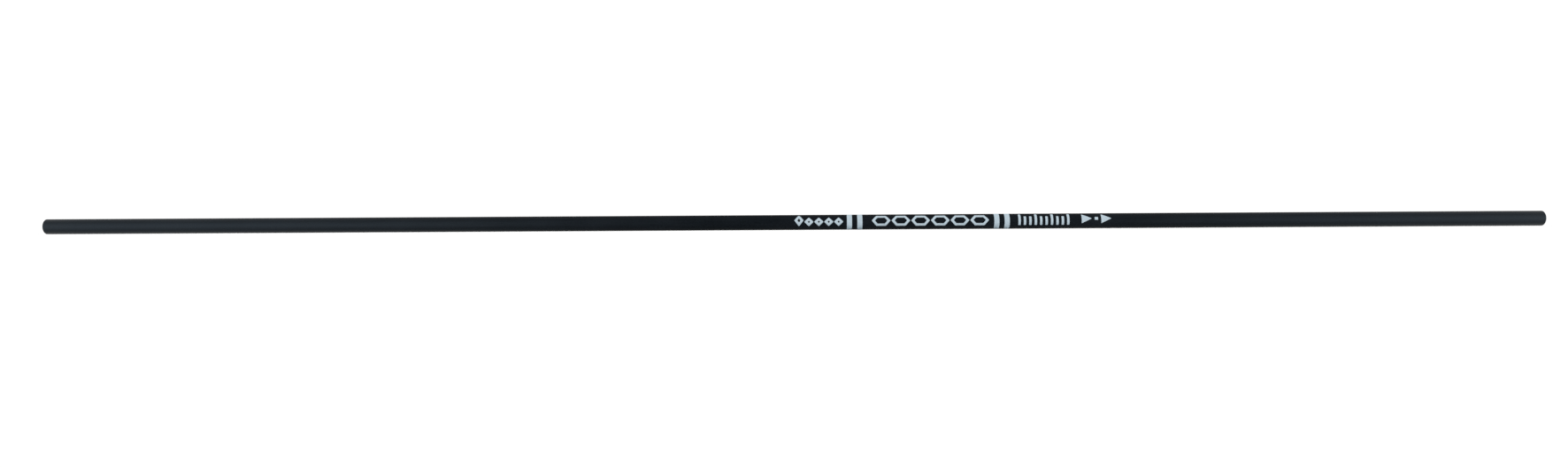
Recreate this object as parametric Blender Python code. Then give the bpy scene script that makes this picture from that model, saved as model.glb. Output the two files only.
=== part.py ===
"""The bare shaft of a fixed two-metre survey pole, lying along X.

A carbon fibre tube, cut square at both ends, with a turned aluminium insert bonded flush into each
end. The inserts carry the 3/8-16 UNC threads that take a prism stud at the top end (+X) and a steel
point at the bottom end (-X). The origin is the middle of the pole, on its axis.
"""

from math import pi, radians, tan

import bmesh
import bpy
from mathutils import Matrix, Vector

MM = 0.001

# The tube
POLE_LENGTH = 2000.0 * MM
TUBE_DIAMETER = 20.0 * MM
TUBE_WALL = 1.5 * MM
RIM_CHAMFER = 0.4 * MM
BORE_CHAMFER = 0.3 * MM
TUBE_SEGMENTS = 64

# The inserts: each is turned along local -Z, its mouth face at local Z = 0
GLUE_GAP = 0.3 * MM
INSERT_LENGTH = 35.0 * MM
INSERT_FACE_CHAMFER = 0.25 * MM
INSERT_TAIL_TAPER = 3.0 * MM
GLUE_GROOVE_COUNT = 3
GLUE_GROOVE_WIDTH = 3.0 * MM
GLUE_GROOVE_DEPTH = 0.5 * MM
GLUE_GROOVE_PITCH = 7.5 * MM
FIRST_GROOVE_DEPTH_IN = 7.0 * MM
INSERT_SEGMENTS = 24

# The 3/8-16 UNC threaded hole in each insert
THREAD_MAJOR = 9.525 * MM
THREAD_PITCH = 25.4 / 16 * MM
TAP_DRILL = 7.938 * MM
THREAD_DEPTH = 16.0 * MM
DRILL_DEPTH = 20.0 * MM
DRILL_POINT_ANGLE = radians(118.0)
COUNTERSINK_DIAMETER = 10.6 * MM
THREAD_FLANK = radians(30.0)
RIDGE_REACH_INSIDE = 0.3 * MM

LACQUER = {"Base Color": (0.012, 0.014, 0.017, 1.0), "Roughness": 0.42, "Metallic": 0.0}
ALUMINIUM = {"Base Color": (0.76, 0.77, 0.78, 1.0), "Roughness": 0.32, "Metallic": 1.0}


def clear_scene():
    """Remove whatever objects the file opened with."""
    for old in list(bpy.data.objects):
        bpy.data.objects.remove(old, do_unlink=True)


def finish_material(name, values):
    """A Principled material with the given socket values."""
    material = bpy.data.materials.new(name)
    material.use_nodes = True
    shader = material.node_tree.nodes["Principled BSDF"]
    for socket, value in values.items():
        shader.inputs[socket].default_value = value
    return material


def turned(profile, segments, closed):
    """Spin a profile of (radius, height) points a full turn about Z.

    A closed profile is a ring's section. An open one starts and ends on the axis.
    """
    work = bmesh.new()
    points = [work.verts.new((radius, 0.0, height)) for radius, height in profile]
    ends = zip(points, points[1:] + points[:1]) if closed else zip(points, points[1:])
    edges = [work.edges.new(pair) for pair in ends]
    bmesh.ops.spin(
        work,
        geom=points + edges,
        cent=(0.0, 0.0, 0.0),
        axis=(0.0, 0.0, 1.0),
        angle=2 * pi,
        steps=segments,
        use_merge=True,
    )
    bmesh.ops.remove_doubles(work, verts=work.verts, dist=1e-6)
    bmesh.ops.recalc_face_normals(work, faces=work.faces)
    return work


def as_object(name, work, material):
    """Store a bmesh as a smooth-shaded object with its hard edges kept."""
    mesh = bpy.data.meshes.new(name)
    work.to_mesh(mesh)
    work.free()
    mesh.shade_smooth()
    mesh.set_sharp_from_angle(angle=radians(30.0))
    mesh.materials.append(material)
    made = bpy.data.objects.new(name, mesh)
    bpy.context.collection.objects.link(made)
    return made


def tube_profile():
    """Section of the tube wall, with the rims' chamfers at both ends."""
    outer = TUBE_DIAMETER / 2
    inner = outer - TUBE_WALL
    half = POLE_LENGTH / 2
    return [
        (outer, half - RIM_CHAMFER),
        (outer, -half + RIM_CHAMFER),
        (outer - RIM_CHAMFER, -half),
        (inner + BORE_CHAMFER, -half),
        (inner, -half + BORE_CHAMFER),
        (inner, half - BORE_CHAMFER),
        (inner + BORE_CHAMFER, half),
        (outer - RIM_CHAMFER, half),
    ]


def insert_radius():
    """Outer radius of an insert: the tube's bore less the glue line."""
    return TUBE_DIAMETER / 2 - TUBE_WALL - GLUE_GAP


def insert_profile():
    """Half section of an insert, from the bottom of its hole round to its tail, on the axis."""
    outer = insert_radius()
    drill = TAP_DRILL / 2
    sink = COUNTERSINK_DIAMETER / 2
    point = drill / tan(DRILL_POINT_ANGLE / 2)
    profile = [
        (0.0, -DRILL_DEPTH - point),
        (drill, -DRILL_DEPTH),
        (drill, drill - sink),
        (sink, 0.0),
        (outer - INSERT_FACE_CHAMFER, 0.0),
        (outer, -INSERT_FACE_CHAMFER),
    ]
    for groove in range(GLUE_GROOVE_COUNT):
        start = -FIRST_GROOVE_DEPTH_IN - groove * GLUE_GROOVE_PITCH
        end = start - GLUE_GROOVE_WIDTH
        floor = outer - GLUE_GROOVE_DEPTH
        profile += [
            (outer, start),
            (floor, start - GLUE_GROOVE_DEPTH),
            (floor, end + GLUE_GROOVE_DEPTH),
            (outer, end),
        ]
    return profile + [
        (outer, -INSERT_LENGTH + INSERT_TAIL_TAPER),
        (outer - INSERT_TAIL_TAPER / 2, -INSERT_LENGTH),
        (0.0, -INSERT_LENGTH),
    ]


def thread_ridge():
    """The coil of metal that a tap removes: a 60 degree ridge swept along the thread's helix."""
    major = THREAD_MAJOR / 2
    inside = TAP_DRILL / 2 - RIDGE_REACH_INSIDE
    root = THREAD_PITCH / 16
    base = root + (major - inside) * tan(THREAD_FLANK)
    turns = THREAD_DEPTH / THREAD_PITCH + 1
    steps = round(turns * INSERT_SEGMENTS)
    work = bmesh.new()
    section = [(inside, base), (major, root), (major, -root), (inside, -base)]
    corners = [work.verts.new((radius, 0.0, height + THREAD_PITCH)) for radius, height in section]
    face = work.faces.new(corners)
    bmesh.ops.spin(
        work,
        geom=[face],
        cent=(0.0, 0.0, 0.0),
        axis=(0.0, 0.0, 1.0),
        dvec=(0.0, 0.0, -THREAD_PITCH / INSERT_SEGMENTS),
        angle=-2 * pi * steps / INSERT_SEGMENTS,
        steps=steps,
    )
    bmesh.ops.rotate(work, verts=work.verts, matrix=Matrix.Rotation(pi / INSERT_SEGMENTS, 3, "Z"))
    bmesh.ops.recalc_face_normals(work, faces=work.faces)
    return work


def tap(insert, ridge):
    """Cut the thread into an insert's hole, and keep the ridge as a guide."""
    cut = insert.modifiers.new("thread", "BOOLEAN")
    cut.operation = "DIFFERENCE"
    cut.solver = "EXACT"
    cut.object = ridge
    ridge.hide_render = True
    ridge.display_type = "WIRE"
    ridge.parent = insert


def make_tube(lacquer):
    """The carbon tube, turned along Z and laid along X."""
    tube = as_object("pole_tube", turned(tube_profile(), TUBE_SEGMENTS, closed=True), lacquer)
    tube.rotation_euler = (0.0, pi / 2, 0.0)
    return tube


def make_insert(name, side, aluminium):
    """One threaded insert, its mouth face flush with the tube's end on the given side of X."""
    insert = as_object(name, turned(insert_profile(), INSERT_SEGMENTS, closed=False), aluminium)
    ridge = as_object(name + "_thread_cutter", thread_ridge(), aluminium)
    tap(insert, ridge)
    insert.location = Vector((side * POLE_LENGTH / 2, 0.0, 0.0))
    insert.rotation_euler = (0.0, side * pi / 2, 0.0)
    return insert


def main():
    clear_scene()
    lacquer = finish_material("black_lacquered_carbon", LACQUER)
    aluminium = finish_material("turned_aluminium", ALUMINIUM)
    make_tube(lacquer)
    make_insert("top_insert", 1, aluminium)
    make_insert("bottom_insert", -1, aluminium)


main()
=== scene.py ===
# %% [markdown]
# # A bare survey pole, from the inside out
#
# The object is the shaft of a fixed two-metre survey pole: a slim black carbon tube, cut square at both
# ends, with a threaded aluminium insert bonded flush into each end and a light blue-grey marking
# printed near its middle. It lies on a pale floor, its marking turned to the front.
#
# The solids made for collision are the fixed frame. This lesson builds the fine pieces round them, in
# the same metres and the same places, with the tools that a person uses by hand in Blender.

# %% Load the frame
from math import hypot, pi, radians, tan

import bmesh
import bpy
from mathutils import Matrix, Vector


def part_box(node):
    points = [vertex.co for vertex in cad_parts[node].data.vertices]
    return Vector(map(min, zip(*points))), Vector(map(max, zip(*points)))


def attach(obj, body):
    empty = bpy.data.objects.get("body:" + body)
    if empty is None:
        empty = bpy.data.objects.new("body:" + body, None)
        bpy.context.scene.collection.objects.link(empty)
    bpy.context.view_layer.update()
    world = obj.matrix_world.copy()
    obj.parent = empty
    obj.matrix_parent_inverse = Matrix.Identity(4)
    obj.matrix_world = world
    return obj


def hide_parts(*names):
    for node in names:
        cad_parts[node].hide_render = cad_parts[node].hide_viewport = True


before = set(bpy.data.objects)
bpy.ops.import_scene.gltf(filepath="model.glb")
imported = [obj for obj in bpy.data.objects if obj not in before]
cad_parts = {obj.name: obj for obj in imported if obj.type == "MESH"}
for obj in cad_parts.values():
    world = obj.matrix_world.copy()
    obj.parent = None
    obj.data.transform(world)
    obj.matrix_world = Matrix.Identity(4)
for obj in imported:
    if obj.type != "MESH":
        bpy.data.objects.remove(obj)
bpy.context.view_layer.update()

# %% [markdown]
# Every size below comes from the frame or from a few facts about the real thing. The tube's box gives
# the pole's length and radius, and an insert's box gives its depth and the width of its body, so the
# glue line is what is left over between an insert and the tube's bore. Corners that are touching, within
# a thousandth of a millimetre, are one corner, and a hundredth is near enough for picking by place.

# %% Measures taken from the frame
MM = 0.001
TOUCHING = 0.001 * MM
NEAR = 0.01 * MM
tube_low, tube_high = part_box("pole_tube")
insert_low, insert_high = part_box("top_insert")
END = tube_high.x
TUBE_RADIUS = (tube_high.z - tube_low.z) / 2
INSERT_RADIUS = (insert_high.z - insert_low.z) / 2
INSERT_LENGTH = insert_high.x - insert_low.x
WALL = 1.5 * MM
BORE_RADIUS = TUBE_RADIUS - WALL
print(f"pole {2 * END:.3f} m long, {2000 * TUBE_RADIUS:.2f} mm across, bore {2000 * BORE_RADIUS:.2f} mm")
print(f"inserts {1000 * INSERT_LENGTH:.1f} mm deep, {2000 * INSERT_RADIUS:.2f} mm across")

# %% [markdown]
# ## The camera
#
# A pole a hundred times longer than it is wide is seen whole only from close by with a wide lens. From
# 1.5 m in front of its middle, a 25.8 mm lens takes in its two metres with a little air at each side.
# From there the near rim of each square-cut end bulges outwards, which is why the ends look rounded.
# The camera is level with the pole, a little over a centimetre to the left of its middle. It is turned
# down by half a degree and rolled by a third of one, so the right end stands a touch higher in view.

# %% The camera
camera_data = bpy.data.cameras.new("front_camera")
camera_data.lens = 25.8
camera_data.sensor_width = 36.0
camera = bpy.data.objects.new("front_camera", camera_data)
bpy.context.scene.collection.objects.link(camera)
camera.location = (-0.0137, -1.504, 0.0)
camera.rotation_euler = (radians(90.0 - 0.587), radians(0.33), 0.0)
bpy.context.scene.camera = camera
bpy.context.scene.view_settings.view_transform = "Standard"

# %% [markdown]
# ## Working by hand, in code
#
# Each tool in Blender acts on whatever is selected, and a person looks before clicking. Code can't look,
# so it starts each piece with nothing selected, and picks faces and edges by where they are. These few
# helpers are the hands: `let_go` puts everything down, `named` keeps the piece just added, `hold` takes
# one piece up again, and `editing` and `done_editing` step in and out of edit mode.


# %% The hands
def let_go():
    """Deselect everything, so that the next tool acts on the new piece alone."""
    bpy.ops.object.select_all(action="DESELECT")


def named(name):
    """Name the piece that was just added."""
    piece = bpy.context.object
    piece.name = name
    piece.data.name = name
    return piece


def hold(piece):
    """Select one piece and make it active."""
    let_go()
    piece.select_set(True)
    bpy.context.view_layer.objects.active = piece


def editing(piece, kind="VERT"):
    """Step into a piece with everything in it selected."""
    hold(piece)
    bpy.ops.object.mode_set(mode="EDIT")
    bpy.ops.mesh.select_mode(type=kind)
    bpy.ops.mesh.select_all(action="SELECT")


def done_editing():
    """Step out of the piece again."""
    bpy.ops.object.mode_set(mode="OBJECT")


# %% [markdown]
# `pick` stands for the mouse: it selects the edges or faces that pass a test of where they are. The
# other helpers are what every piece gets at the end, when its corners are welded, its faces turned
# outwards, its modifiers applied and its round faces shaded smooth.

# %% Picking and finishing
SHARP_ANGLE = radians(30.0)


def pick(piece, kind, test):
    """In edit mode, select the edges or faces whose corners all pass a test. Returns how many."""
    bpy.ops.mesh.select_mode(type=kind)
    bpy.ops.mesh.select_all(action="DESELECT")
    shape = bmesh.from_edit_mesh(piece.data)
    found = 0
    for part in shape.edges if kind == "EDGE" else shape.faces:
        if all(test(corner.co) for corner in part.verts):
            part.select_set(True)
            found += 1
    bmesh.update_edit_mesh(piece.data)
    return found


def across(point):
    """Distance of a point from the pole's axis."""
    return hypot(point.y, point.z)


def close_up(piece):
    """Weld doubled corners and turn every face outwards."""
    editing(piece)
    bpy.ops.mesh.remove_doubles(threshold=TOUCHING)
    bpy.ops.mesh.normals_make_consistent(inside=False)
    done_editing()


def apply_modifiers(piece):
    """Apply a piece's modifiers in their order."""
    hold(piece)
    for modifier in list(piece.modifiers):
        bpy.ops.object.modifier_apply(modifier=modifier.name)


def smooth(piece):
    """Shade round faces smooth and keep real corners sharp."""
    hold(piece)
    bpy.ops.object.shade_smooth_by_angle(angle=SHARP_ANGLE)


def report(piece):
    """Print what was made."""
    size = [round(1000 * side, 2) for side in piece.dimensions]
    print(f"{piece.name}: {len(piece.data.polygons)} faces, {size} mm")


# %% [markdown]
# ## The tube
#
# The real tube is rolled from carbon cloth on a steel mandrel, baked, ground round, cut to length and
# lacquered, so it is one wall of even thickness, open at both ends. A filled cylinder would be wrong,
# and a bore cut by a Boolean is more work than is needed. A cylinder with no ends, thickened inwards by
# Solidify, is what the mandrel makes: one skin with a wall. Bisecting it every 50 mm keeps its faces
# from being two metres long, which suits the shading.

# %% The tube's wall
TUBE_SIDES = 128
RING_SPACING = 0.05


def tube_wall():
    """An open-ended tube along X, with its wall inside the measured radius."""
    let_go()
    bpy.ops.mesh.primitive_cylinder_add(
        vertices=TUBE_SIDES,
        radius=TUBE_RADIUS,
        depth=2 * END,
        end_fill_type="NOTHING",
        rotation=(0.0, pi / 2, 0.0),
    )
    piece = named("carbon_tube")
    bpy.ops.object.transform_apply(rotation=True)
    editing(piece)
    for ring in range(1, round(2 * END / RING_SPACING)):
        bpy.ops.mesh.select_all(action="SELECT")
        bpy.ops.mesh.bisect(plane_co=(ring * RING_SPACING - END, 0.0, 0.0), plane_no=(1.0, 0.0, 0.0))
    done_editing()
    wall = piece.modifiers.new("wall", "SOLIDIFY")
    wall.thickness = WALL
    wall.offset = -1.0
    apply_modifiers(piece)
    return piece


tube = tube_wall()
report(tube)

# %% [markdown]
# A saw leaves a sharp rim that would splinter, so the maker breaks both edges of each cut with a file.
# That is a small bevel. The outer one is a little larger than the inner one, and both are rounded by a
# few segments, because a file never leaves a perfect flat.

# %% The filed rims
OUTER_RIM = 0.4 * MM
INNER_RIM = 0.3 * MM
RIM_STEPS = 4


def file_rim(piece, radius, width):
    """Round off the ring of edges at one radius on both cut ends."""

    def on_rim(point):
        return abs(abs(point.x) - END) < NEAR and abs(across(point) - radius) < NEAR

    editing(piece, "EDGE")
    found = pick(piece, "EDGE", on_rim)
    bpy.ops.mesh.bevel(
        offset=width, offset_type="OFFSET", segments=RIM_STEPS, profile=0.5, affect="EDGES"
    )
    done_editing()
    return found


print("rim edges filed:", file_rim(tube, TUBE_RADIUS, OUTER_RIM), file_rim(tube, BORE_RADIUS, INNER_RIM))
close_up(tube)
smooth(tube)
report(tube)

# %% [markdown]
# ## The inserts
#
# Each insert is one piece of aluminium bar, turned on a lathe. Its body is a little smaller than the
# bore, which leaves room for glue, and three shallow grooves give the glue a hold. Its nose is tapered
# so that it starts easily. Lathe work is a half section spun about an axis, and Spin does just that.
# The half section is drawn as a person draws it: one corner, pulled out again and again by Extrude.

# %% A lathe
TURNED_SIDES = 96


def turned(name, section, closed=False):
    """Spin a half section of (place along the pole, distance from its axis) about the pole's axis."""
    let_go()
    bpy.ops.mesh.primitive_plane_add(size=MM)
    piece = named(name)
    editing(piece)
    bpy.ops.mesh.merge(type="CENTER")
    here = Vector((0.0, 0.0, 0.0))
    for step, (along, out) in enumerate(section):
        there = Vector((along, 0.0, out))
        if step == 0:
            bpy.ops.transform.translate(value=there)
        else:
            bpy.ops.mesh.extrude_region_move(TRANSFORM_OT_translate={"value": there - here})
        here = there
    bpy.ops.mesh.select_all(action="SELECT")
    if closed:
        ends = bmesh.from_edit_mesh(piece.data).verts
        bpy.ops.mesh.select_all(action="DESELECT")
        for corner in ends:
            corner.select_set(len(corner.link_edges) == 1)
        bpy.ops.mesh.edge_face_add()
        bpy.ops.mesh.select_all(action="SELECT")
    bpy.ops.mesh.spin(steps=TURNED_SIDES, angle=2 * pi, center=(0.0, 0.0, 0.0), axis=(1.0, 0.0, 0.0))
    done_editing()
    close_up(piece)
    return piece


# %% [markdown]
# The section starts on the axis at the point of the drilled hole, comes out along the hole's wall,
# over the countersink and across the flat face, and goes back along the grooved body to the nose. The
# hole is drilled for a 3/8-16 thread, the one that small prisms, targets and points screw on by.

# %% The turned body of an insert
DRILL_RADIUS = 7.938 / 2 * MM
DRILL_DEPTH = 20.0 * MM
DRILL_POINT_ANGLE = radians(118.0)
DRILL_POINT = DRILL_RADIUS / tan(DRILL_POINT_ANGLE / 2)
SINK_RADIUS = 5.3 * MM
FACE_CHAMFER = 0.25 * MM
GROOVE_STARTS = [7.0 * MM, 14.5 * MM, 22.0 * MM]
GROOVE_WIDTH = 3.0 * MM
GROOVE_DEPTH = 0.5 * MM
NOSE_LENGTH = 3.0 * MM


def insert_section():
    """Half section of the top insert, its face flush with the pole's end."""
    section = [
        (DRILL_DEPTH + DRILL_POINT, 0.0),
        (DRILL_DEPTH, DRILL_RADIUS),
        (SINK_RADIUS - DRILL_RADIUS, DRILL_RADIUS),
        (0.0, SINK_RADIUS),
        (0.0, INSERT_RADIUS - FACE_CHAMFER),
        (FACE_CHAMFER, INSERT_RADIUS),
    ]
    for start in GROOVE_STARTS:
        end = start + GROOVE_WIDTH
        floor_radius = INSERT_RADIUS - GROOVE_DEPTH
        section += [
            (start, INSERT_RADIUS),
            (start + GROOVE_DEPTH, floor_radius),
            (end - GROOVE_DEPTH, floor_radius),
            (end, INSERT_RADIUS),
        ]
    section += [
        (INSERT_LENGTH - NOSE_LENGTH, INSERT_RADIUS),
        (INSERT_LENGTH, INSERT_RADIUS - NOSE_LENGTH / 2),
        (INSERT_LENGTH, 0.0),
    ]
    return [(END - depth, radius) for depth, radius in section]


top_insert = turned("turned_top_insert", insert_section())
report(top_insert)

# %% [markdown]
# The thread is a real helix, not a stack of rings, because a stud has to screw into it. A tap cuts it,
# so the code makes a tap: one tooth, a trapezium a little narrower than the pitch, which the Screw
# modifier winds round the axis and moves along by one pitch each turn. A Boolean then cuts the wound
# tooth out of the drilled hole. The tooth's flanks lean 30 degrees, as on every inch thread.

# %% The tap
PITCH = 25.4 / 16 * MM
MAJOR_RADIUS = 9.525 / 2 * MM
THREAD_DEPTH = 16.0 * MM
FLANK_ANGLE = radians(30.0)
TAP_STEPS = 48
TOOTH_HEEL = DRILL_RADIUS - 0.3 * MM


def tap():
    """A wound cutting tooth that starts one pitch outside the pole's top end."""
    tip = PITCH / 8
    heel = tip + 2 * (MAJOR_RADIUS - TOOTH_HEEL) * tan(FLANK_ANGLE)
    let_go()
    bpy.ops.mesh.primitive_plane_add(
        size=1.0, location=(END + PITCH, 0.0, (MAJOR_RADIUS + TOOTH_HEEL) / 2), rotation=(pi / 2, 0.0, 0.0)
    )
    tooth = named("tap")
    bpy.ops.transform.resize(value=(heel, 1.0, MAJOR_RADIUS - TOOTH_HEEL))
    bpy.ops.object.transform_apply(location=True, rotation=True, scale=True)
    editing(tooth)
    pick(tooth, "EDGE", lambda point: point.z > MAJOR_RADIUS - NEAR)
    bpy.ops.transform.resize(value=(tip / heel, 1.0, 1.0))
    bpy.ops.mesh.select_all(action="SELECT")
    bpy.ops.mesh.delete(type="ONLY_FACE")
    done_editing()
    winding = tooth.modifiers.new("winding", "SCREW")
    winding.axis = "X"
    winding.angle = 2 * pi
    winding.screw_offset = -PITCH
    winding.iterations = round(THREAD_DEPTH / PITCH) + 1
    winding.steps = winding.render_steps = TAP_STEPS
    winding.use_merge_vertices = False
    apply_modifiers(tooth)
    editing(tooth)
    bpy.ops.mesh.remove_doubles(threshold=TOUCHING)
    bpy.ops.mesh.select_all(action="SELECT")
    bpy.ops.mesh.fill_holes(sides=4)
    done_editing()
    close_up(tooth)
    return tooth


def cut_thread(piece):
    """Cut the thread into an insert and put the tap away."""
    tool = tap()
    report(tool)
    cut = piece.modifiers.new("thread", "BOOLEAN")
    cut.operation = "DIFFERENCE"
    cut.solver = "EXACT"
    cut.object = tool
    apply_modifiers(piece)
    bpy.data.objects.remove(tool)
    close_up(piece)


cut_thread(top_insert)
smooth(top_insert)
report(top_insert)

# %% [markdown]
# The bottom insert is the same part. A copy is turned half round about the pole's middle and given its
# own mesh, so its thread stays right-handed, where a mirrored copy's thread would not.

# %% The bottom insert
hold(top_insert)
bpy.ops.object.duplicate()
bottom_insert = named("turned_bottom_insert")
bpy.ops.transform.rotate(value=pi, orient_axis="Z", center_override=(0.0, 0.0, 0.0))
bpy.ops.object.transform_apply(location=True, rotation=True, scale=True)
report(bottom_insert)

# %% [markdown]
# ## The glue line
#
# Epoxy fills the gap between insert and bore. It was wiped level while wet and sank a little as it
# cured, so at each end it shows as a thin dark ring with a hollow top, just below the face. A ring of
# its own, turned from a closed section, gives the joint that depth. Bump could only hint at it.

# %% The glue rings
GLUE_SINK = 0.22 * MM
GLUE_HOLLOW = 0.10 * MM
GLUE_LAP = 0.01 * MM
GLUE_DEPTH = 6.0 * MM


def glue_ring(name, side):
    """The cured glue at one end: side is 1 at the top and -1 at the bottom."""
    inner = INSERT_RADIUS - GLUE_LAP
    outer = BORE_RADIUS + GLUE_LAP
    middle = (inner + outer) / 2
    section = [
        (GLUE_DEPTH, inner),
        (GLUE_SINK, inner),
        (GLUE_SINK + GLUE_HOLLOW * 0.75, (inner + middle) / 2),
        (GLUE_SINK + GLUE_HOLLOW, middle),
        (GLUE_SINK + GLUE_HOLLOW * 0.75, (middle + outer) / 2),
        (GLUE_SINK, outer),
        (GLUE_DEPTH, outer),
    ]
    ring = turned(name, [(side * (END - depth), radius) for depth, radius in section], closed=True)
    smooth(ring)
    report(ring)
    return ring


top_glue = glue_ring("top_glue_line", 1)
bottom_glue = glue_ring("bottom_glue_line", -1)

# %% [markdown]
# ## The printed marking
#
# A light blue-grey marking starts at the pole's middle and runs 42 cm towards the top end. The real
# one is lettering between pairs of stripes. Here plain shapes of the same weight, height and spacing
# take the place of the words: lozenges, rings, a chain of open hexagons, a comb of bars and two
# arrowheads that point to the pole's top.
#
# Ink printed on a round tube is a flat drawing rolled round it. So the marks are first laid out flat,
# upright in front of nothing, as a printer lays out the film: X along the pole, Z up round its curve.

# %% A flat mark
STROKE = 3.2 * MM
SOFT_CORNER = 0.7 * MM
SOFT_OUTLINE = 0.35 * MM
SOFT_STEPS = 3
marks = []


def flat_mark(sides, turn, middle, size, stroke=None):
    """A flat shape with softened corners: an outline if it has a stroke, else filled in."""
    let_go()
    if sides:
        bpy.ops.mesh.primitive_circle_add(
            vertices=sides, radius=1.0, fill_type="NGON", rotation=(pi / 2, radians(turn), 0.0)
        )
    else:
        bpy.ops.mesh.primitive_plane_add(size=1.0, rotation=(pi / 2, 0.0, 0.0))
    mark = named("mark")
    bpy.ops.object.transform_apply(rotation=True)
    wide, _, tall = mark.dimensions
    bpy.ops.transform.resize(value=(size[0] / wide, 1.0, size[1] / tall))
    bpy.ops.object.transform_apply(scale=True)
    if stroke:
        editing(mark, "FACE")
        bpy.ops.mesh.inset(thickness=stroke, use_even_offset=True)
        bpy.ops.mesh.delete(type="FACE")
        done_editing()
    editing(mark)
    soft = SOFT_OUTLINE if stroke else SOFT_CORNER
    bpy.ops.mesh.bevel(offset=soft, offset_type="OFFSET", segments=SOFT_STEPS, affect="VERTICES")
    done_editing()
    box_middle = sum((Vector(corner) for corner in mark.bound_box), Vector()) / 8
    editing(mark)
    bpy.ops.transform.translate(value=Vector((middle[0], 0.0, middle[1])) - box_middle)
    done_editing()
    marks.append(mark)


# %% [markdown]
# The marks stand on one base line, low on the front, apart from the arrowheads and their dot, which are
# level with its middle. Tall marks reach up over the curve and short ones stop halfway, as capitals and
# small letters would. Each is placed by the middle of its own box, because a triangle's middle isn't the
# middle of the circle that it was drawn in.

# %% The marks laid out
BASE_LINE = -5.4 * MM
LOW_TOP = 6.8 * MM
HIGH_TOP = 10.8 * MM


def standing(sides, turn, start, end, top, stroke=None, base=BASE_LINE):
    """A mark between two places along the pole, standing on the base line."""
    middle = ((start + end) / 2, (base + top) / 2)
    flat_mark(sides, turn, middle, (end - start, top - base), stroke)


LOZENGES = 5
LOZENGE_WIDTH = 12.4 * MM
LOZENGE_PITCH = 13.2 * MM
for place in range(LOZENGES):
    start = place * LOZENGE_PITCH
    standing(4, 0.0, start, start + LOZENGE_WIDTH, HIGH_TOP if place == 0 else LOW_TOP, STROKE)

HEXAGONS = 6
HEXAGON_START = 103.0 * MM
HEXAGON_PITCH = 26.2 * MM
HEXAGON_WIDTH = 25.0 * MM
HEXAGON_TOP = 9.2 * MM
for place in range(HEXAGONS):
    start = HEXAGON_START + place * HEXAGON_PITCH
    standing(6, 30.0, start, start + HEXAGON_WIDTH, HEXAGON_TOP, STROKE)

BARS = 10
COMB_START = 298.0 * MM
COMB_PITCH = 7.2 * MM
BAR_WIDTH = 3.2 * MM
for place in range(BARS):
    start = COMB_START + place * COMB_PITCH
    standing(0, 0.0, start, start + BAR_WIDTH, LOW_TOP if place % 3 else HIGH_TOP)

ARROW_START = 382.0 * MM
ARROW_LENGTH = 13.5 * MM
DOT_WIDTH = 4.5 * MM
ARROW_GAP = 4.0 * MM
ARROW_BASE = -3.4 * MM
ARROW_TOP = 9.8 * MM
DOT_BASE = 1.2 * MM
DOT_TOP = 5.2 * MM
dot_start = ARROW_START + ARROW_LENGTH + ARROW_GAP
second_arrow = dot_start + DOT_WIDTH + ARROW_GAP
standing(3, 90.0, ARROW_START, ARROW_START + ARROW_LENGTH, ARROW_TOP, base=ARROW_BASE)
standing(0, 0.0, dot_start, dot_start + DOT_WIDTH, DOT_TOP, base=DOT_BASE)
standing(3, 90.0, second_arrow, second_arrow + ARROW_LENGTH, ARROW_TOP, base=ARROW_BASE)
print(len(marks), "flat marks")

# %% [markdown]
# To bend, a flat face needs folds. Bisecting every mark at each millimetre of height gives it level
# folds. Then the Simple Deform modifier bends the whole sheet about the pole's direction. Its angle is
# the sheet's height over the tube's radius, so that heights become distances round the curve, measured
# from the front. Solidify gives the ink its thickness, a few hundredths of a millimetre.

# %% Rolled round the tube
FOLD_SPACING = 1.0 * MM
INK_SUNK = 0.02 * MM
INK_PROUD = 0.03 * MM


def roll_round(piece, radius):
    """Bend a flat, upright sheet round the pole, and bring its middle line to the front."""
    bend = piece.modifiers.new("bend", "SIMPLE_DEFORM")
    bend.deform_method = "BEND"
    bend.deform_axis = "X"
    bend.angle = piece.dimensions.z / radius
    apply_modifiers(piece)
    editing(piece)
    bpy.ops.transform.translate(value=(0.0, -radius, 0.0))
    done_editing()


let_go()
for mark in marks:
    mark.select_set(True)
bpy.context.view_layer.objects.active = marks[0]
bpy.ops.object.join()
marking = named("printed_marking")
editing(marking)
folds = round(HIGH_TOP / FOLD_SPACING)
for fold in range(-folds, folds + 1):
    bpy.ops.mesh.select_all(action="SELECT")
    bpy.ops.mesh.bisect(plane_co=(0.0, 0.0, fold * FOLD_SPACING), plane_no=(0.0, 0.0, 1.0))
done_editing()
bpy.context.view_layer.update()
roll_round(marking, TUBE_RADIUS - INK_SUNK)
rolled = [across(corner.co) for corner in marking.data.vertices]
print(f"rolled to {1000 * min(rolled):.3f} - {1000 * max(rolled):.3f} mm from the axis")
ink = marking.modifiers.new("ink", "SOLIDIFY")
ink.thickness = INK_SUNK + INK_PROUD
ink.offset = 1.0
apply_modifiers(marking)
close_up(marking)
report(marking)

# %% [markdown]
# The stripes go right round the tube, so they need no rolling: each is a short length of cylinder with
# a wall as thin as the ink. There are two pairs, one on either side of the hexagons.

# %% The printed rings
RING_WIDTH = 6.8 * MM
RING_GAP = 7.0 * MM
PAIR_STARTS = [70.0 * MM, 266.0 * MM]


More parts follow.
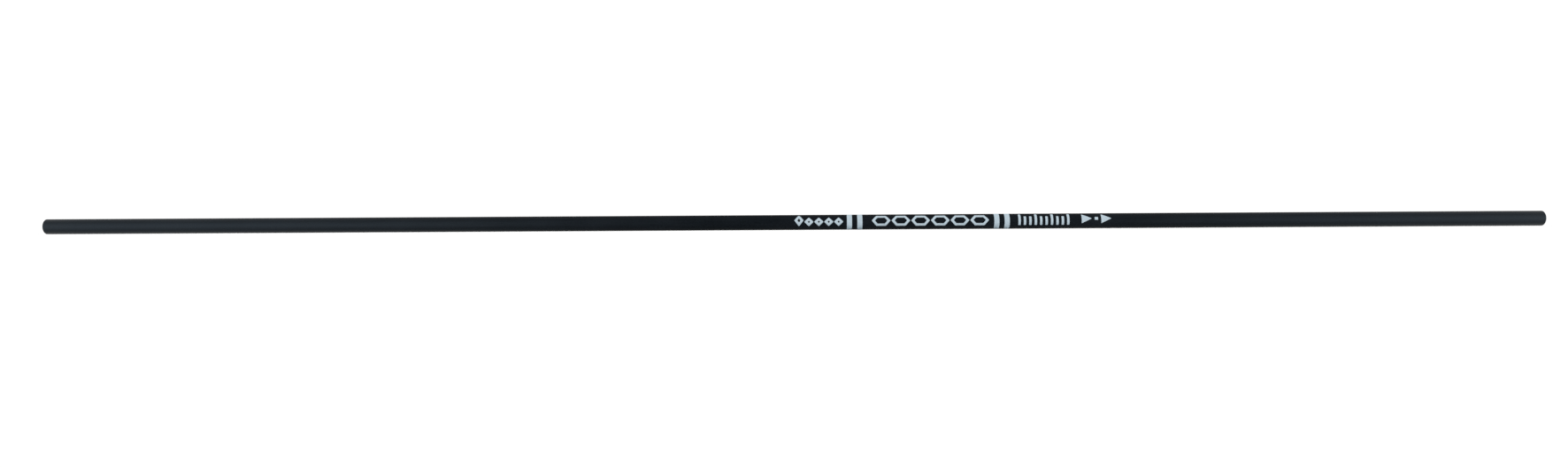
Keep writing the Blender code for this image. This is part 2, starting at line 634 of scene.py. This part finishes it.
def printed_ring(start):
    """One band of ink right round the tube."""
    let_go()
    bpy.ops.mesh.primitive_cylinder_add(
        vertices=TUBE_SIDES,
        radius=TUBE_RADIUS + INK_PROUD,
        depth=RING_WIDTH,
        end_fill_type="NOTHING",
        location=(start + RING_WIDTH / 2, 0.0, 0.0),
        rotation=(0.0, pi / 2, 0.0),
    )
    band = named("band")
    bpy.ops.object.transform_apply(location=True, rotation=True)
    wall = band.modifiers.new("wall", "SOLIDIFY")
    wall.thickness = INK_SUNK + INK_PROUD
    wall.offset = -1.0
    apply_modifiers(band)
    return band


bands = []
for start in PAIR_STARTS:
    bands.append(printed_ring(start))
    bands.append(printed_ring(start + RING_WIDTH + RING_GAP))
hold(marking)
for band in bands:
    band.select_set(True)
bpy.ops.object.join()
smooth(marking)
report(marking)

# %% [markdown]
# ## Shader sums
#
# A material's pattern is arithmetic on the place of each point. Wiring every sum by hand hides what it
# says, so a `Wire` wraps one output of a node and can be added, multiplied and compared in plain Python
# sums.


# %% Wires
class Wire:
    """One output of a node, used in sums as if it were a number."""

    def __init__(self, finish, socket):
        self.finish, self.socket = finish, socket

    def maths(self, operation, *values):
        return self.finish.node("ShaderNodeMath", {"operation": operation}, dict(enumerate(values)))

    def __add__(self, other):
        return self.maths("ADD", self, other)

    def __sub__(self, other):
        return self.maths("SUBTRACT", self, other)

    def __rsub__(self, other):
        return self.maths("SUBTRACT", other, self)

    def __mul__(self, other):
        return self.maths("MULTIPLY", self, other)

    def __truediv__(self, other):
        return self.maths("DIVIDE", self, other)

    def __pow__(self, other):
        return self.maths("POWER", self, other)

    __radd__, __rmul__ = __add__, __mul__

    def sine(self):
        return self.maths("SINE", self)

    def size(self):
        return self.maths("ABSOLUTE", self)

    def at_least(self, other):
        return self.maths("MAXIMUM", self, other)

    def above(self, low, high):
        """0 below low, 1 above high, and an even S-curve between them."""
        settings = {"interpolation_type": "SMOOTHSTEP"}
        return self.finish.node("ShaderNodeMapRange", settings, {"Value": self, 1: low, 2: high})


# %% [markdown]
# A `Finish` is one material. Everything in it that isn't a sum of numbers comes from `Finish.node`, which
# takes the node's type, its settings and what goes into its sockets. All patterns read the place of a
# point on its own piece, so they stay put when the pole moves.


# %% Finishes
class Finish:
    """A material and the node tree that paints it."""

    def __init__(self, name):
        self.material = bpy.data.materials.new(name)
        self.material.use_nodes = True
        self.tree = self.material.node_tree
        self.shader = self.tree.nodes["Principled BSDF"]
        self.place = self.node("ShaderNodeTexCoord", output="Object")
        split = self.node("ShaderNodeSeparateXYZ", {}, {0: self.place}).socket.node
        self.x, self.y, self.z = (Wire(self, socket) for socket in split.outputs)

    def feed(self, socket, value):
        """Set a socket, or wire it if the value is the output of a node."""
        if isinstance(value, Wire):
            self.tree.links.new(value.socket, socket)
        else:
            socket.default_value = value

    def node(self, kind, settings=None, inputs=None, output=0):
        """Add a node, set it up, fill its sockets and return one of its outputs."""
        made = self.tree.nodes.new(kind)
        for setting, value in (settings or {}).items():
            setattr(made, setting, value)
        for socket, value in (inputs or {}).items():
            self.feed(made.inputs[socket], value)
        return Wire(self, made.outputs[output])

    def radius(self):
        """The distance from the pole's axis."""
        return (self.y * self.y + self.z * self.z) ** 0.5

    def angle(self):
        """The angle round the pole's axis from the front, up over the top, in radians."""
        return self.node("ShaderNodeMath", {"operation": "ARCTAN2"}, {0: self.z, 1: 0.0 - self.y})

    def stretched(self, along, around):
        """The place, stretched by one factor along the pole and another across it."""
        factors = {0: self.place, 1: (along, around, around)}
        return self.node("ShaderNodeVectorMath", {"operation": "MULTIPLY"}, factors)

    def noise(self, scale, detail=2.0, roughness=0.5, place=None):
        """Soft random variation between 0 and 1, about scale grains to the metre."""
        values = {"Vector": place or self.place, "Scale": scale, "Detail": detail, "Roughness": roughness}
        return self.node("ShaderNodeTexNoise", {}, values)

    def blend(self, amount, first, second):
        """A colour part of the way from the first to the second."""
        colours = [given if isinstance(given, Wire) else (*given, 1.0) for given in (first, second)]
        values = {"Factor": amount, 6: colours[0], 7: colours[1]}
        return self.node("ShaderNodeMix", {"data_type": "RGBA"}, values, output=2)

    def bump(self, height, depth):
        """Relief from a height between 0 and 1, whose full depth is given in metres."""
        return self.node("ShaderNodeBump", {}, {"Height": height, "Distance": depth, "Strength": 1.0})

    def surface(self, values):
        """Set or wire the shader's own sockets by their names."""
        for socket, value in values.items():
            self.feed(self.shader.inputs[socket], value)
        return self.material


# %% [markdown]
# ## Satin black lacquer over carbon
#
# The lacquer is almost black, and satin: it shows a soft stretched image of the light, not a mirror.
# The image is slate blue, because the dark pigment takes a little red from it, and that is what the
# shader's specular tint does. What keeps the tube from looking like flat paint is small. Carbon fibres
# run lengthwise beneath the lacquer and print faintly through, the grinder left a fine spiral, the
# sprayed film has the gentle unevenness called orange peel, and the last hand's width at each end is
# dulled a little by handling.

# %% The lacquer
LACQUER_DARK = (0.0010, 0.0018, 0.0034)
LACQUER_LIGHT = (0.0070, 0.0090, 0.0120)
LACQUER_SHEEN = (0.64, 0.82, 1.0, 1.0)
LACQUER_ROUGHNESS = 0.28
LACQUER_RELIEF = 0.03 * MM
GRIND_PITCH = 1.6 * MM


def lacquer():
    """Satin black, with fibres, clouds and orange peel."""
    paint = Finish("satin_black_lacquer")
    fibres = paint.noise(1.0, 4.0, 0.6, paint.stretched(18.0, 2600.0)).above(0.36, 0.64)
    clouds = paint.noise(14.0, 3.0, 0.5).above(0.30, 0.70)
    peel = paint.noise(900.0, 2.0, 0.5)
    grind = (paint.x * (2 * pi / GRIND_PITCH) + paint.angle()).sine() * 0.5 + 0.5
    handled = paint.x.size().above(END - 0.11, END - 0.01)
    scuffs = paint.noise(1.0, 5.0, 0.7, paint.stretched(160.0, 900.0)).above(0.58, 0.74) * handled
    tint = fibres * 0.50 + clouds * 0.36 + grind * 0.06 + scuffs * 0.4
    relief = peel * 0.5 + fibres * 0.2 + grind * 0.08 - scuffs * 0.2
    dulled = handled * 0.01 + scuffs * 0.06
    return paint.surface(
        {
            "Base Color": paint.blend(tint, LACQUER_DARK, LACQUER_LIGHT),
            "Roughness": LACQUER_ROUGHNESS + clouds * 0.03 + fibres * 0.03 + dulled,
            "Specular Tint": LACQUER_SHEEN,
            "Normal": paint.bump(relief, LACQUER_RELIEF),
        }
    )


lacquer_finish = lacquer()

# %% [markdown]
# ## The sawn end of the tube
#
# A saw cut shows how the wall was rolled: eight thin layers, one over the other, whose fibres run
# lengthwise in one and round the tube in the next. End-on fibres look dull and almost black, and fibres
# lying in the cut catch the light, so the layers show as fine alternating rings.

# %% The cut laminate
LAYERS = 8
CUT_DARK = (0.010, 0.011, 0.013)
CUT_LIGHT = (0.060, 0.062, 0.068)
CUT_RELIEF = 0.03 * MM


def cut_laminate():
    """Fine rings of cut carbon layers, fluffed by the saw."""
    cut = Finish("cut_carbon_laminate")
    depth = (cut.radius() - BORE_RADIUS) / WALL
    wander = cut.noise(700.0, 3.0, 0.6) - 0.5
    rings = ((depth + wander * 0.05) * (LAYERS * pi)).sine().size() ** 0.7
    fluff = cut.noise(4200.0, 3.0, 0.7)
    return cut.surface(
        {
            "Base Color": cut.blend(rings * 0.7 + fluff * 0.3, CUT_DARK, CUT_LIGHT),
            "Roughness": 0.48 + fluff * 0.25,
            "Normal": cut.bump(rings * 0.5 + fluff * 0.5, CUT_RELIEF),
        }
    )


cut_finish = cut_laminate()

# %% [markdown]
# ## The bore
#
# Inside, the wall is a cast of the mandrel: plain resin over carbon, dull, with long fine draw marks
# where the steel was pulled out. It is seen only past a removed insert, but it is part of the tube.

# %% The bore's skin
BORE_DARK = (0.012, 0.012, 0.013)
BORE_LIGHT = (0.035, 0.034, 0.033)
BORE_RELIEF = 0.02 * MM


def bore_skin():
    """Dull resin with draw marks."""
    skin = Finish("bore_resin")
    draws = skin.noise(1.0, 4.0, 0.6, skin.stretched(9.0, 1800.0))
    return skin.surface(
        {
            "Base Color": skin.blend(draws, BORE_DARK, BORE_LIGHT),
            "Roughness": 0.50 + draws * 0.15,
            "Normal": skin.bump(draws, BORE_RELIEF),
        }
    )


bore_finish = bore_skin()

# %% [markdown]
# ## Turned aluminium
#
# A lathe tool leaves one fine groove that winds inwards over the face and along the body. On the face
# the groove runs round the axis and on the body it steps along it, so the sum of the two distances
# gives a pattern that is right on both, and on the thread's flanks as well. Faint stains and a few dull
# patches stand for cutting oil and for glue that was wiped away.

# %% The aluminium
TOOL_STEP = 0.11 * MM
TOOL_RELIEF = 0.006 * MM
METAL_CLEAN = (0.83, 0.83, 0.84)
METAL_STAINED = (0.60, 0.60, 0.59)


def turned_aluminium():
    """Bare metal with a fine tool groove, chatter and stains."""
    metal = Finish("lathe_turned_aluminium")
    groove = ((metal.radius() + metal.x.size()) * (2 * pi / TOOL_STEP)).sine() * 0.5 + 0.5
    chatter = metal.noise(1.0, 3.0, 0.6, metal.stretched(5200.0, 5200.0))
    stains = metal.noise(420.0, 3.0, 0.55).above(0.50, 0.75)
    return metal.surface(
        {
            "Base Color": metal.blend(stains * 0.6 + chatter * 0.25, METAL_CLEAN, METAL_STAINED),
            "Metallic": 1.0,
            "Roughness": 0.24 + stains * 0.16 + chatter * 0.06,
            "Normal": metal.bump(groove * 0.7 + chatter * 0.3, TOOL_RELIEF),
        }
    )


aluminium_finish = turned_aluminium()

# %% [markdown]
# ## Cured epoxy
#
# The glue is a black-filled epoxy. It is glossy where it cured in air, faintly brown where it is thin,
# and pitted by a few bubbles.

# %% The epoxy
GLUE_DARK = (0.010, 0.009, 0.008)
GLUE_BROWN = (0.032, 0.025, 0.018)
GLUE_RELIEF = 0.04 * MM


def cured_epoxy():
    """Dark glue with swirls and pits."""
    glue = Finish("cured_epoxy")
    swirl = glue.noise(900.0, 3.0, 0.5)
    bubbles = glue.node("ShaderNodeTexVoronoi", {}, {"Vector": glue.place, "Scale": 1500.0})
    pits = 1.0 - bubbles.above(0.10, 0.22)
    return glue.surface(
        {
            "Base Color": glue.blend(swirl, GLUE_DARK, GLUE_BROWN),
            "Roughness": 0.22 + pits * 0.25,
            "Normal": glue.bump(swirl * 0.4 - pits * 0.6, GLUE_RELIEF),
        }
    )


epoxy_finish = cured_epoxy()

# %% [markdown]
# ## Printing ink
#
# The ink is a flat, slightly chalky blue-grey. Screen printing lays it down through a mesh, so it has a
# faint even grain, it is a little thinner in places, and the dark lacquer shows through a few pinholes.

# %% The ink
INK_FULL = (0.490, 0.600, 0.670)
INK_THIN = (0.425, 0.530, 0.600)
UNDER_INK = (0.020, 0.025, 0.030)
SCREEN_PITCH = 0.16 * MM
INK_RELIEF = 0.012 * MM


def printing_ink():
    """Pale ink with a screen's grain, thin places and pinholes."""
    ink = Finish("blue_grey_ink")
    thin = ink.noise(260.0, 3.0, 0.6).above(0.42, 0.78)
    along_mesh = (ink.x * (2 * pi / SCREEN_PITCH)).sine()
    across_mesh = (ink.angle() * (TUBE_RADIUS * 2 * pi / SCREEN_PITCH)).sine()
    mesh = along_mesh * across_mesh * 0.5 + 0.5
    specks = ink.node("ShaderNodeTexVoronoi", {}, {"Vector": ink.place, "Scale": 520.0})
    pinholes = 1.0 - specks.above(0.05, 0.11)
    coat = ink.blend(thin * 0.7 + mesh * 0.12, INK_FULL, INK_THIN)
    return ink.surface(
        {
            "Base Color": ink.blend(pinholes * 0.6, coat, UNDER_INK),
            "Roughness": 0.46 + thin * 0.08,
            "Normal": ink.bump(mesh * 0.4 - thin * 0.3 - pinholes * 0.3, INK_RELIEF),
        }
    )


ink_finish = printing_ink()

# %% [markdown]
# ## Finishes onto pieces
#
# The tube is one piece with three skins, so it has three material slots. Its faces are picked by place:
# whatever lies beyond the start of the filed rims is sawn laminate, and whatever lies inside the middle
# of the wall is bore. The rest stays lacquer.

# %% Paint the pieces


def paint_faces(piece, slot, test):
    """Give one material slot to the faces that pass a test."""
    editing(piece, "FACE")
    found = pick(piece, "FACE", test)
    piece.active_material_index = slot
    bpy.ops.object.material_slot_assign()
    done_editing()
    return found


for skin in (lacquer_finish, cut_finish, bore_finish):
    tube.data.materials.append(skin)
bore_faces = paint_faces(tube, 2, lambda point: across(point) < BORE_RADIUS + WALL / 2)
sawn_faces = paint_faces(tube, 1, lambda point: abs(point.x) > END - OUTER_RIM - TOUCHING)
print(bore_faces, "bore faces and", sawn_faces, "sawn faces")

for piece, finish in (
    (top_insert, aluminium_finish),
    (bottom_insert, aluminium_finish),
    (top_glue, epoxy_finish),
    (bottom_glue, epoxy_finish),
    (marking, ink_finish),
):
    piece.data.materials.clear()
    piece.data.materials.append(finish)

# %% [markdown]
# ## Tying the pieces to the frame
#
# Every piece rides on the one rigid body. The fine tube and inserts take the place of their plain
# solids, which stay behind unseen for collision.

# %% Ride and replace
for piece, slot in (
    (tube, "lacquered_carbon"),
    (marking, "lacquered_carbon"),
    (top_glue, "lacquered_carbon"),
    (bottom_glue, "lacquered_carbon"),
    (top_insert, "turned_aluminium"),
    (bottom_insert, "turned_aluminium"),
):
    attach(piece, "root")
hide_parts("pole_tube")
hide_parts("top_insert")
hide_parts("bottom_insert")

# %% [markdown]
# ## Floor and light
#
# The pole lies on a pale, matt floor in even, shadowless white light, so the world itself is the lamp.
# A black satin tube shows hardly any of that light: what it shows is a reflection of the room. In this
# room the tube sees a soft tent that is dim round its middle and lighter towards both ends, with a
# brighter panel in front of each end. So its middle stays nearly black and its ends turn slate grey.
# The tent is a stage piece: it appears in reflections and nowhere else.

# %% The floor
FLOOR_SIZE = 60.0
FLOOR_GAP = 0.1 * MM
PAPER_DULL = (0.955, 0.955, 0.955)
PAPER_WHITE = (0.985, 0.985, 0.985)


def pale_floor():
    """A wide sheet of pale, matt paper just under the pole."""
    let_go()
    bpy.ops.mesh.primitive_plane_add(size=FLOOR_SIZE, location=(0.0, 0.0, tube_low.z - FLOOR_GAP))
    piece = named("pale_floor")
    paper = Finish("pale_matt_floor")
    grain = paper.noise(60.0, 3.0, 0.5)
    piece.data.materials.append(
        paper.surface(
            {
                "Base Color": paper.blend(grain, PAPER_DULL, PAPER_WHITE),
                "Roughness": 0.85 + grain * 0.1,
                "Specular IOR Level": 0.0,
            }
        )
    )
    piece.visible_glossy = False
    return piece


floor = pale_floor()

# %% The white room
ROOM_WHITE = 1.07


def white_room():
    """White light from everywhere, which the gloss doesn't see."""
    world = bpy.data.worlds.new("white_room")
    world.use_nodes = True
    background = world.node_tree.nodes["Background"]
    background.inputs["Color"].default_value = (1.0, 1.0, 1.0, 1.0)
    background.inputs["Strength"].default_value = ROOM_WHITE
    world.cycles_visibility.glossy = False
    bpy.context.scene.world = world


white_room()

# %% [markdown]
# The tent is a wide tube of light about the pole. Its glow depends on two things: how far along the
# pole it is from the dim middle, and how much it faces the front. Both are soft S-curves, so no edge
# of a lamp shows on the lacquer. The dim middle is a little towards the top end.

# %% The light tent
TENT_SIDES = 64
TENT_RADIUS = 4.0
TENT_LENGTH = 24.0
DIM_MIDDLE = 0.4
ROOM_GLOW = (0.145, 0.451)
PANEL_GLOW = (-0.070, 0.550)
GLOW_SPAN = (0.85, 3.0)
PANEL_FOCUS = 3.0
BRIGHTEST = ROOM_GLOW[1] + PANEL_GLOW[1]


def light_tent():
    """A wide glowing tube about the pole, for reflections only."""
    let_go()
    bpy.ops.mesh.primitive_cylinder_add(
        vertices=TENT_SIDES, radius=TENT_RADIUS, depth=TENT_LENGTH, rotation=(0.0, pi / 2, 0.0)
    )
    piece = named("light_tent")
    bpy.ops.object.transform_apply(rotation=True)
    glow = Finish("tent_glow")
    far = (glow.x - DIM_MIDDLE).size().above(*GLOW_SPAN)
    room = far * (ROOM_GLOW[1] - ROOM_GLOW[0]) + ROOM_GLOW[0]
    panel = far * (PANEL_GLOW[1] - PANEL_GLOW[0]) + PANEL_GLOW[0]
    facing = (glow.y / -TENT_RADIUS).at_least(0.0) ** PANEL_FOCUS
    share = (room + facing * panel) / BRIGHTEST
    piece.data.materials.append(
        glow.surface(
            {
                "Base Color": (0.0, 0.0, 0.0, 1.0),
                "Specular IOR Level": 0.0,
                "Emission Color": glow.blend(share, (0.0, 0.0, 0.0), (BRIGHTEST,) * 3),
                "Emission Strength": 1.0,
            }
        )
    )
    piece.visible_camera = False
    piece.visible_diffuse = False
    piece.visible_transmission = False
    piece.visible_shadow = False
    return piece


tent = light_tent()
